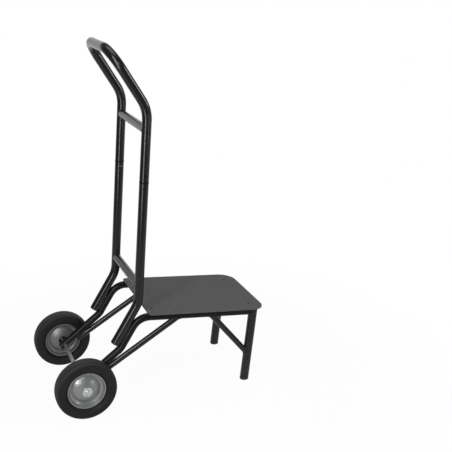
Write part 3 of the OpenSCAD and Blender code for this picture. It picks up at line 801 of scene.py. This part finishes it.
def pale_floor(studio):
    """Pale matte floor that the eye sees as nearly white, with the trolley's shadow kept.

    In reflections it is as bright as its sheen near the trolley, white towards the board, and as
    dim as the room beyond the paper's left and front edges.
    """
    material = bpy.data.materials.new("pale floor")
    tree = emptied(material, "Principled BSDF")
    matte = add_node(tree, "ShaderNodeBsdfDiffuse", {"Color": tuple(studio.floor)}).outputs[0]
    where = tree.nodes.new("ShaderNodeTexCoord").outputs["Object"]
    distance = vector_math(tree, "LENGTH", where)["Value"]
    glow = stretch(tree, distance, studio.shadow_reach, 2 * studio.shadow_reach, studio.glow, 1.0)
    split = split_vector(tree, where)
    left, front, border = studio.paper
    lit = math_node(tree, "MULTIPLY", stretch(tree, split["X"], left - border, left + border),
                    stretch(tree, split["Y"], front - border, front + border))
    paper = stretch(tree, split["Y"], 0.0, studio.board_away, studio.sheen, 1.0)
    brighter = math_node(tree, "SUBTRACT", paper, studio.room)
    level = math_node(tree, "MULTIPLY_ADD", lit, brighter, studio.room)
    eye, mirrored = ray_kinds(tree)
    strength = seen_white(tree, eye, mirrored, level)
    white = white_light(tree, "ShaderNodeEmission", strength)
    seen = math_node(tree, "MAXIMUM", math_node(tree, "MULTIPLY", eye, glow), mirrored)
    mix = add_node(tree, "ShaderNodeMixShader", {0: seen, 1: matte, 2: white})
    tree.links.new(mix.outputs[0], tree.nodes["Material Output"].inputs["Surface"])
    return material


def white_card():
    """Plain white of the board behind the trolley."""
    material = bpy.data.materials.new("white board")
    tree = emptied(material, "Principled BSDF")
    white = white_light(tree, "ShaderNodeEmission", 1.0)
    tree.links.new(white, tree.nodes["Material Output"].inputs["Surface"])
    return material


def white_world(studio):
    """World that is white to the eye, lights the trolley evenly and is dim in reflections."""
    world = bpy.data.worlds.new("studio")
    tree = emptied(world, "Background")
    eye, mirrored = ray_kinds(tree)
    soft = white_light(tree, "ShaderNodeBackground", studio.ambient)
    strength = seen_white(tree, eye, mirrored, studio.room)
    white = white_light(tree, "ShaderNodeBackground", strength)
    seen = math_node(tree, "MAXIMUM", eye, mirrored)
    mix = add_node(tree, "ShaderNodeMixShader", {0: seen, 1: soft, 2: white})
    tree.links.new(mix.outputs[0], tree.nodes["World Output"].inputs["Surface"])
    return world


def stage_sheet(name, corners, material):
    """Flat four-cornered piece of the stage."""
    mesh = bpy.data.meshes.new(name)
    mesh.from_pydata(corners, [], [(0, 1, 2, 3)])
    mesh.materials.append(material)
    sheet = bpy.data.objects.new(name, mesh)
    bpy.context.scene.collection.objects.link(sheet)
    return sheet


def softbox(name, place, aim, size, radiance):
    """Rectangular lamp at a place, facing a point: size is its width and height."""
    lamp = bpy.data.lights.new(name, "AREA")
    lamp.shape = "RECTANGLE"
    lamp.size, lamp.size_y = size
    lamp.energy = radiance * math.pi * size[0] * size[1]
    holder = bpy.data.objects.new(name, lamp)
    holder.location = place
    holder.rotation_euler = (Vector(place) - Vector(aim)).to_track_quat("Z", "Y").to_euler()
    holder.visible_camera = False
    bpy.context.scene.collection.objects.link(holder)


# Operators

class TROLLEY_OT_coat_frame(bpy.types.Operator):
    """Gives the tubes and cross members their black powder coat, duller on the side rails"""

    bl_idname = "trolley.coat_frame"
    bl_label = "Coat the frame"

    def execute(self, context):
        finish = context.scene.trolley_finish
        coat = powder_coat(finish, "black powder coat", dulling=0.0, specular=0.5)
        dress("black_coat", coat)
        dull = powder_coat(finish, "dull black powder coat", dulling=0.10, specular=0.22)
        dress("black_coat", dull, "side_rail")
        return {"FINISHED"}


class TROLLEY_OT_paint_platform(bpy.types.Operator):
    """Gives the platform its paint, its screws their black oxide and the buttons their steel"""

    bl_idname = "trolley.paint_platform"
    bl_label = "Paint the platform"

    def execute(self, context):
        finish = context.scene.trolley_finish
        dress("platform_grey", platform_paint(finish))
        dress("black_screw", blackened_steel(finish))
        dress("black_screw", button_steel(finish), "snap_button")
        return {"FINISHED"}


class TROLLEY_OT_finish_wheels(bpy.types.Operator):
    """Gives the tyres their rubber and the hub discs their paint"""

    bl_idname = "trolley.finish_wheels"
    bl_label = "Finish the wheels"

    def execute(self, context):
        finish = context.scene.trolley_finish
        dress("tyre_black", tyre_rubber(finish))
        dress("hub_grey", hub_paint(finish, "grey hub paint", level=1.0, dulling=0.0))
        # Painted shade: the inner hub discs get a darker, slightly rougher copy of the hub paint.
        dull = hub_paint(finish, "hub paint darkened as painted shade", level=0.66, dulling=0.10)
        dress("hub_grey", dull, "inner_hub_disc")
        return {"FINISHED"}


class TROLLEY_OT_finish_fittings(bpy.types.Operator):
    """Gives the axle and its fittings their zinc, and the caps and plugs their moulded rubber"""

    bl_idname = "trolley.finish_fittings"
    bl_label = "Finish the fittings"

    def execute(self, context):
        finish = context.scene.trolley_finish
        dress("zinc", zinc_plate(finish, "zinc plating", level=1.0))
        # Painted shade: the axle's zinc is darkened between the side rails.
        rail = [corner.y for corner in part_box("left_side_rail")]
        dress("zinc", zinc_plate(finish, "zinc plating shaded between the rails", level=1.0, shaded_span=rail), "axle")
        # Painted shade: the inner washers and axle spacers get a darker copy of the zinc plating.
        dull = zinc_plate(finish, "zinc plating darkened as painted shade", level=0.2)
        dress("zinc", dull, "inner_washer")
        dress("zinc", dull, "axle_spacer")
        dress("black_rubber", moulded_plug(finish))
        return {"FINISHED"}


class TROLLEY_OT_lay_welds(bpy.types.Operator):
    """Lays coated weld beads where one tube ends on another and where two lie side by side"""

    bl_idname = "trolley.lay_welds"
    bl_label = "Lay the welds"

    def execute(self, context):
        welds = context.scene.trolley_welds
        coat = bpy.data.materials["black powder coat"]
        for side in SIDES:
            for name, branch, branch_span, main, main_span in ROUND_WELDS:
                tubes = (straight_run(branch.format(side=side), branch_span),
                         straight_run(main.format(side=side), main_span))
                path, outward = meeting_line(*tubes, ROUND_STEPS)
                points, faces = bead_surface(path, outward, welds.bead, welds, closed=True)
                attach(add_piece(f"{side}_{name}_weld", points, faces, coat),
                        "frame")
            for name, first, first_span, second, second_span, low, high in SEAM_WELDS:
                tubes = (straight_run(first.format(side=side), first_span),
                         straight_run(second.format(side=side), second_span))
                for face, word in ((1, "left"), (-1, "right")):
                    path, outward = seam_line(*tubes, low, high, welds.seam, face, SEAM_STEPS)
                    points, faces = bead_surface(path, outward, welds.seam, welds, closed=False)
                    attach(add_piece(f"{side}_{name}_{word}_seam", points, faces, coat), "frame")
        return {"FINISHED"}


class TROLLEY_OT_ring_joints(bpy.types.Operator):
    """Lays a dark ring of painted shade in the joint where the handle plugs into each upright"""

    bl_idname = "trolley.ring_joints"
    bl_label = "Ring the handle's joints"

    def execute(self, context):
        welds = context.scene.trolley_welds
        seam_shade = painted_joint_shade(context.scene.trolley_finish)
        for side in SIDES:
            post = straight_run(f"{side}_upright", UPRIGHT_POST)
            path, outward = joint_ring(post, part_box(f"{side}_upright")[1].z, welds.ring, RING_STEPS)
            points, faces = bead_surface(path, outward, welds.ring, welds, closed=True)
            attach(add_piece(f"{side}_joint_ring", points, faces, seam_shade), "frame")
        return {"FINISHED"}


class TROLLEY_OT_fold_springs(bpy.types.Operator):
    """Folds a leaf spring behind each snap button, in place of the solid spring, which it hides"""

    bl_idname = "trolley.fold_springs"
    bl_label = "Fold the springs"

    def execute(self, context):
        leaf = context.scene.trolley_welds.leaf
        plating = bpy.data.materials["zinc plating"]
        for side in SIDES:
            node = f"{side}_button_spring"
            along = straight_run(f"{side}_upright", UPRIGHT_POST)[1]
            points, faces, span = leaf_spring(node, along, leaf, LEAF_STEPS)
            piece = add_piece(f"{side}_leaf_spring", points, faces, plating, smooth=False)
            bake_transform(piece)
            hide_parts(node)
        return {"FINISHED"}


class TROLLEY_OT_set_studio(bpy.types.Operator):
    """Lays the floor, hangs the lamps and places the camera"""

    bl_idname = "trolley.set_studio"
    bl_label = "Set the studio"

    def execute(self, context):
        studio = context.scene.trolley_studio
        reach = studio.floor_reach
        corners = [(-reach, -reach, 0), (reach, -reach, 0), (reach, reach, 0), (-reach, reach, 0)]
        stage_sheet("floor", corners, pale_floor(studio))
        left, right, low, high = studio.board
        away = studio.board_away
        corners = [(left, away, low), (right, away, low), (right, away, high), (left, away, high)]
        board = stage_sheet("board", corners, white_card())
        board.visible_camera = board.visible_diffuse = board.visible_shadow = False
        context.scene.world = white_world(studio)
        for name, place, aim, size, radiance in LAMPS:
            softbox(name, place, aim, size, radiance * studio.lamp)
        lens = bpy.data.cameras.new("camera")
        lens.lens = studio.lens
        lens.shift_x, lens.shift_y = studio.shift
        camera = bpy.data.objects.new("camera", lens)
        camera.location = studio.camera
        camera.rotation_euler = (math.pi / 2 - studio.elevation, 0, studio.azimuth)
        context.scene.collection.objects.link(camera)
        context.scene.camera = camera
        context.scene.view_settings.view_transform = "Standard"
        return {"FINISHED"}


class TROLLEY_PT_panel(bpy.types.Panel):
    """Lists the trolley's finishes, sizes and steps"""

    bl_idname = "TROLLEY_PT_panel"
    bl_label = "Stacking chair trolley"
    bl_space_type = "VIEW_3D"
    bl_region_type = "UI"
    bl_category = "Trolley"

    def draw(self, context):
        for step in STEPS:
            self.layout.operator(step.bl_idname)
        scene = context.scene
        for settings in (scene.trolley_finish, scene.trolley_welds, scene.trolley_studio):
            box = self.layout.box()
            for name in settings.__annotations__:
                box.prop(settings, name)


STEPS = (
    TROLLEY_OT_coat_frame,
    TROLLEY_OT_paint_platform,
    TROLLEY_OT_finish_wheels,
    TROLLEY_OT_finish_fittings,
    TROLLEY_OT_lay_welds,
    TROLLEY_OT_ring_joints,
    TROLLEY_OT_fold_springs,
    TROLLEY_OT_set_studio,
)
CLASSES = (TrolleyFinish, TrolleyWelds, TrolleyStudio, *STEPS, TROLLEY_PT_panel)


def register():
    """Makes the settings and the steps known to Blender."""
    for kind in CLASSES:
        bpy.utils.register_class(kind)
    bpy.types.Scene.trolley_finish = bpy.props.PointerProperty(type=TrolleyFinish)
    bpy.types.Scene.trolley_welds = bpy.props.PointerProperty(type=TrolleyWelds)
    bpy.types.Scene.trolley_studio = bpy.props.PointerProperty(type=TrolleyStudio)


def unregister():
    """Takes the settings and the steps out again."""
    del bpy.types.Scene.trolley_studio
    del bpy.types.Scene.trolley_welds
    del bpy.types.Scene.trolley_finish
    for kind in reversed(CLASSES):
        bpy.utils.unregister_class(kind)


def main():
    """Dresses the trolley step by step."""
    register()
    bpy.ops.trolley.coat_frame()
    bpy.ops.trolley.paint_platform()
    bpy.ops.trolley.finish_wheels()
    bpy.ops.trolley.finish_fittings()
    bpy.ops.trolley.lay_welds()
    bpy.ops.trolley.ring_joints()
    bpy.ops.trolley.fold_springs()
    bpy.ops.trolley.set_studio()
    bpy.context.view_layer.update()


if __name__ == "__main__":
    main()
